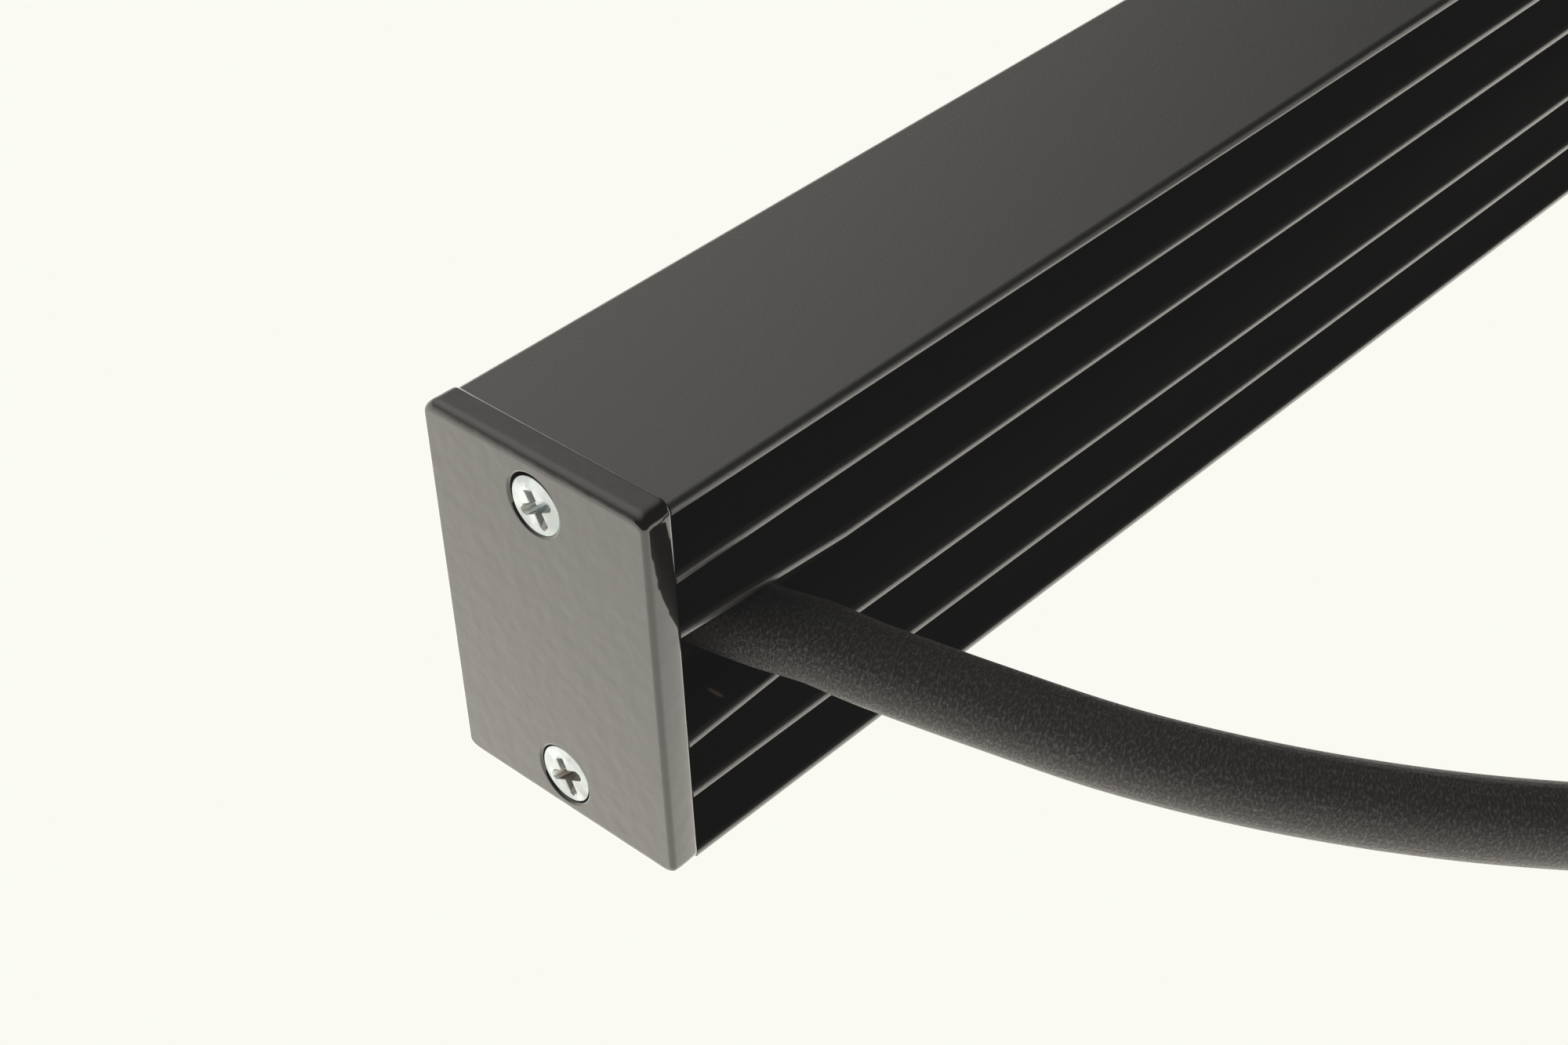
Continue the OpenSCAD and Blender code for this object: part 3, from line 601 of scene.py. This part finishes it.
bm = bmesh.new()
depths = [long_edge_r * (1 - math.cos(math.pi / 2 * i / front_steps)) for i in range(front_steps + 1)]
depths += flat_depths
depths += [cap_t - cut_back_r * (1 - math.cos(math.pi / 2 * i / back_steps))
           for i in range(back_steps, -1, -1)]
plate_rings = [cap_ring(bm, depth) for depth in depths]
join_rings(bm, plate_rings, smooth=True)
front, back = [plate_rings[0]], [plate_rings[-1]]
for side in (-1, 1):
    drift_y, drift_z = drill_drift[side]
    hole_z = mid_z + side * screw_reach - cap_h / 2 + drift_z
    hole = [hole_ring(bm, drift_y, hole_z, depth, r) for depth, r in sink_profile]
    join_rings(bm, hole, smooth=True)
    front.append(hole[0])
    back.append(hole[-1])
fill_between(bm, front)
fill_between(bm, back)
plate = to_mesh("end_cap", bm)

# Black powder coat: it flows as it is baked, which leaves a glossy skin with a fine orange peel.
coat, tree, shader, place = new_finish("black_powder_coat", "#100f0d", 0.06, IOR=1.47)
peel_mm = 1.4
peel = add_node(tree, "ShaderNodeTexNoise", {
    "Vector": place, "Scale": 1 / (peel_mm * mm), "Detail": 1.0, "Roughness": 0.3})
skin = add_node(tree, "ShaderNodeBump", {
    "Height": peel.outputs["Fac"], "Strength": 0.5, "Distance": 0.065 * mm})
tree.links.new(skin.outputs["Normal"], shader["Normal"])


def at_both_ends(tree, near_end):
    far_end = add_node(tree, "GeometryNodeTransform", {"Geometry": near_end, "Rotation": (0, 0, math.pi)})
    both = add_node(tree, "GeometryNodeJoinGeometry", {"Geometry": near_end})
    tree.links.new(far_end.outputs["Geometry"], both.inputs["Geometry"])
    return both.outputs["Geometry"]


cap_sizes = {"Face_centre": Vector((half_l, 0, cap_h / 2)) * mm}
tree, given = new_tree("end_caps", **cap_sizes)
seated = add_node(tree, "GeometryNodeTransform", {
    "Geometry": given["Geometry"], "Translation": given["Face centre"]})
finish_tree(tree, at_both_ends(tree, seated.outputs["Geometry"]), coat)
caps = grow("end_caps", plate, tree, **cap_sizes)
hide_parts("end_cap_cable_end", "end_cap_plain_end")


# Cap screws: four M3 countersunk screws with a cross recess, two through each cap into the screw
# ports of the extrusion. Steel, pressed and rolled, then zinc plated.
head_sink = 0.15
head_profile = [(0, 2.44), (-0.02, 2.53), (-0.06, 2.56), (-0.1, 2.53), (-1.13, 1.5)]
thread_start = -1.35
thread_pitch = 0.5
thread_turns = 18
crest_r = 1.5
root_r = 1.32
tip_profile = [(-10.8, 1.4), (-12, 0.75)]
recess_off = (-0.08, -0.16)
recess_steps = [(0, 1.9, 0.5), (-0.06, 1.84, 0.45), (-0.9, 1.15, 0.36), (-1.2, 0.6, 0.28)]
arm_taper = 0.7
arm_tip = 0.4


def recess_outline(reach, half_w):
    outline = []
    for quarter in range(4):
        c, s = math.cos(quarter * math.pi / 2), math.sin(quarter * math.pi / 2)
        for u, v in ((half_w, -half_w), (reach - arm_taper * half_w, -half_w), (reach, -arm_tip * half_w),
                     (reach, arm_tip * half_w), (reach - arm_taper * half_w, half_w)):
            outline.append((recess_off[0] + u * c - v * s, recess_off[1] + u * s + v * c))
    return outline


screw_profile = head_profile + [(thread_start - thread_pitch / 2 * i, crest_r if i % 2 else root_r)
                                for i in range(2 * thread_turns)] + tip_profile
bm = bmesh.new()
part = bm.faces.layers.int.new("part")
rings = [hole_ring(bm, 0, 0, -x, r) for x, r in screw_profile]
join_rings(bm, rings, smooth=True)
bm.faces.new(rings[-1])
steps = [[bm.verts.new((x * mm, u * mm, v * mm)) for u, v in recess_outline(reach, half_w)]
         for x, reach, half_w in recess_steps]
for face in join_rings(bm, steps):
    face[part] = 1
bm.faces.new(steps[-1])[part] = 1
fill_between(bm, (rings[0], steps[0]))
screw = to_mesh("cap_screw", bm)

# Bright zinc: a pale, slightly blue metal, clouded by handling and scuffed where the driver has turned.
# The recess keeps the forging's duller, rougher skin. Its zinc is also painted paler than the head's as
# painted light, so the deep recess does not go dark in its own shade.
scuff_mm = 0.3
stain_mm = 2.2
zinc_finishes = []
for name, colour, stained, smooth, rough in (("bright_zinc_plate", "#999fa0", "#787e7f", 0.22, 0.46),
                                             ("dull_zinc_recess_painted_paler", "#b4bcbe", "#938f88", 0.3, 0.5)):
    zinc, tree, shader, place = new_finish(name, colour, rough, Metallic=1.0)
    scuffs = add_node(tree, "ShaderNodeTexNoise", {
        "Vector": place, "Scale": 1 / (scuff_mm * mm), "Detail": 4.0, "Roughness": 0.7})
    worn = add_node(tree, "ShaderNodeMapRange", {
        "Value": scuffs.outputs["Fac"], "To Min": smooth, "To Max": rough})
    tree.links.new(worn.outputs["Result"], shader["Roughness"])
    dents = add_node(tree, "ShaderNodeBump", {
        "Height": scuffs.outputs["Fac"], "Strength": 0.35, "Distance": 0.03 * mm})
    tree.links.new(dents.outputs["Normal"], shader["Normal"])
    stains = add_node(tree, "ShaderNodeTexNoise", {
        "Vector": place, "Scale": 1 / (stain_mm * mm), "Detail": 2.0})
    clouded = add_node(tree, "ShaderNodeMapRange", {
        "Value": stains.outputs["Fac"], "From Min": 0.35, "From Max": 0.65})
    plating = add_node(tree, "ShaderNodeMix", {
        0: clouded.outputs["Result"], 6: linear(stained), 7: linear(colour)}, data_type="RGBA")
    tree.links.new(plating.outputs[2], shader["Base Color"])
    zinc_finishes.append(zinc)

screw_sizes = {"Lower_screw": Vector((half_l - head_sink, 0, mid_z - screw_reach)) * mm,
               "Spacing": Vector((0, 0, 2 * screw_reach)) * mm,
               "Lower_turn": math.radians(26), "Turn_step": math.radians(3)}
tree, given = new_tree("cap_screws", **screw_sizes)
pair = add_node(tree, "GeometryNodeMeshLine", {
    "Count": 2, "Start Location": given["Lower screw"], "Offset": given["Spacing"]})
number = add_node(tree, "GeometryNodeInputIndex")
turn = add_node(tree, "ShaderNodeMath", {
    0: number.outputs[0], 1: given["Turn step"], 2: given["Lower turn"]}, operation="MULTIPLY_ADD")
spin = add_node(tree, "FunctionNodeAxisAngleToRotation", {"Axis": (1, 0, 0), "Angle": turn.outputs[0]})
placed = add_node(tree, "GeometryNodeInstanceOnPoints", {
    "Points": pair.outputs["Mesh"], "Instance": given["Geometry"], "Rotation": spin.outputs["Rotation"]})
finish_tree(tree, at_both_ends(tree, placed.outputs["Instances"]), *zinc_finishes)
screws = grow("cap_screws", screw, tree, **screw_sizes)
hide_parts("cap_screws_cable_end", "cap_screws_plain_end")


# Connector: a four-pole cable connector on the cord's far end. Its die-cast shell is nickel plated,
# the insert and the screwed boot are moulded nylon, and the pins are turned brass, gold plated.

# Satin nickel: a warm grey metal with fine turning marks round its axis.
nickel, tree, shader, place = new_finish("satin_nickel", "#847f77", 0.28, Metallic=1.0)
mark_mm = 0.12
mark_scale = (1, 0.01, 0.01)
turned = add_node(tree, "ShaderNodeMapping", {"Vector": place, "Scale": mark_scale})
marks = add_node(tree, "ShaderNodeTexNoise", {
    "Vector": turned.outputs["Vector"], "Scale": 1 / (mark_mm * mm), "Detail": 3.0})
silky = add_node(tree, "ShaderNodeMapRange", {"Value": marks.outputs["Fac"], "To Min": 0.2, "To Max": 0.38})
tree.links.new(silky.outputs["Result"], shader["Roughness"])
cut = add_node(tree, "ShaderNodeBump", {
    "Height": marks.outputs["Fac"], "Strength": 0.2, "Distance": 0.01 * mm})
tree.links.new(cut.outputs["Normal"], shader["Normal"])
dress(nickel, "connector_shell")

# Black nylon: glass-filled and moulded in an eroded tool, so it is matt with a fine pebbled grain.
moulded, tree, shader, place = new_finish("moulded_black_nylon", "#1c1c1e", 0.5, IOR=1.53)
spark_mm = 0.3
spark = add_node(tree, "ShaderNodeTexNoise", {"Vector": place, "Scale": 1 / (spark_mm * mm), "Detail": 2.0})
pebble = add_node(tree, "ShaderNodeBump", {
    "Height": spark.outputs["Fac"], "Strength": 0.45, "Distance": 0.03 * mm})
tree.links.new(pebble.outputs["Normal"], shader["Normal"])
dull = add_node(tree, "ShaderNodeMapRange", {"Value": spark.outputs["Fac"], "To Min": 0.42, "To Max": 0.6})
tree.links.new(dull.outputs["Result"], shader["Roughness"])
dress(moulded, "connector_insert", "connector_boot")

# Gold plate: a thin warm flash on turned pins, with fine rings from the tool.
gold, tree, shader, place = new_finish("gold_plated_brass", "#a8873f", 0.22, Metallic=1.0)
ring_mm = 0.15
ring_scale = (1, 0.05, 0.05)
turned = add_node(tree, "ShaderNodeMapping", {"Vector": place, "Scale": ring_scale})
tool_rings = add_node(tree, "ShaderNodeTexNoise", {
    "Vector": turned.outputs["Vector"], "Scale": 1 / (ring_mm * mm)})
bright = add_node(tree, "ShaderNodeMapRange", {
    "Value": tool_rings.outputs["Fac"], "To Min": 0.16, "To Max": 0.3})
tree.links.new(bright.outputs["Result"], shader["Roughness"])
dress(gold, "connector_pins")


# Table and light: a white table, far brighter than the camera shows, under a soft light that hangs
# behind it. The foot of the wall behind is bright too, and the room in front stays dim.
table_white = linear("#FAFAF3")
table_r = 3.0
table_glow = 3.0
lamp_way = Vector((0.05, -0.55, 0.83)).normalized()
lamp_edge = 0.52
lamp_core = 0.98
lamp_falloff = 1.5
lamp_strength = 2.02
wall_edge = -0.45
wall_core = -0.72
wall_fade_top = 0.45
wall_fade_foot = 0.15
wall_strength = 2.6
room_strength = 0.05
black_veil = 0.0085
paper = bpy.data.materials.new("white_table")
paper.use_nodes = True
tree = paper.node_tree
tree.nodes.clear()
seen = add_node(tree, "ShaderNodeEmission", {"Color": table_white, "Strength": 1.0})
glow = add_node(tree, "ShaderNodeEmission", {"Color": linear("#FFFAF0"), "Strength": table_glow})
ray = add_node(tree, "ShaderNodeLightPath")
both = add_node(tree, "ShaderNodeMixShader", {
    0: ray.outputs["Is Camera Ray"], 1: glow.outputs[0], 2: seen.outputs[0]})
add_node(tree, "ShaderNodeOutputMaterial", {"Surface": both.outputs[0]})
bm = bmesh.new()
bmesh.ops.create_circle(bm, cap_ends=True, segments=96, radius=table_r)
add_piece("table", to_mesh("table", bm), paper)

world = bpy.data.worlds.new("studio")
world.use_nodes = True
bpy.context.scene.world = world
tree = world.node_tree
tree.nodes.clear()
direction = add_node(tree, "ShaderNodeTexCoord").outputs["Generated"]
toward_lamp = add_node(tree, "ShaderNodeVectorMath", {0: direction, 1: lamp_way}, operation="DOT_PRODUCT")
facing = add_node(tree, "ShaderNodeMapRange", {
    "Value": toward_lamp.outputs["Value"], "From Min": lamp_edge, "From Max": lamp_core})
softbox = add_node(tree, "ShaderNodeMath", {
    0: facing.outputs["Result"], 1: lamp_falloff}, operation="POWER")
axes = add_node(tree, "ShaderNodeSeparateXYZ", {"Vector": direction}).outputs
to_back = add_node(tree, "ShaderNodeMapRange", {
    "Value": axes["Y"], "From Min": wall_edge, "From Max": wall_core})
wall_foot = add_node(tree, "ShaderNodeMapRange", {
    "Value": axes["Z"], "From Min": wall_fade_top, "From Max": wall_fade_foot, "To Max": wall_strength})
dim_light = add_node(tree, "ShaderNodeMath", {
    0: to_back.outputs["Result"], 1: wall_foot.outputs["Result"], 2: room_strength},
    operation="MULTIPLY_ADD")
strength = add_node(tree, "ShaderNodeMath", {
    0: softbox.outputs[0], 1: lamp_strength, 2: dim_light.outputs[0]}, operation="MULTIPLY_ADD")
room = add_node(tree, "ShaderNodeBackground", {
    "Color": linear("#FFFCF5"), "Strength": strength.outputs[0]})
backdrop = add_node(tree, "ShaderNodeBackground", {"Color": table_white, "Strength": 1.0})
ray = add_node(tree, "ShaderNodeLightPath")
both = add_node(tree, "ShaderNodeMixShader", {
    0: ray.outputs["Is Camera Ray"], 1: room.outputs[0], 2: backdrop.outputs[0]})
add_node(tree, "ShaderNodeOutputWorld", {"Surface": both.outputs[0]})
tone = bpy.context.scene.view_settings
tone.view_transform = "Standard"
tone.use_curve_mapping = True
tone.curve_mapping.black_level = (-black_veil, -black_veil, -black_veil)
tone.curve_mapping.update()

camera = bpy.data.objects.new("camera", bpy.data.cameras.new("camera"))
bpy.context.scene.collection.objects.link(camera)
camera.data.sensor_width = 36
camera.data.lens = 63.37
camera_at = Vector((0.352345, 0.126888, 0.151401))
right = Vector((-0.681991, 0.730396, -0.037552))
up = Vector((-0.463555, -0.391979, 0.794650))
camera.matrix_world = Matrix.Translation(camera_at) @ Matrix(
    (right, up, right.cross(up))).transposed().to_4x4()
bpy.context.scene.camera = camera
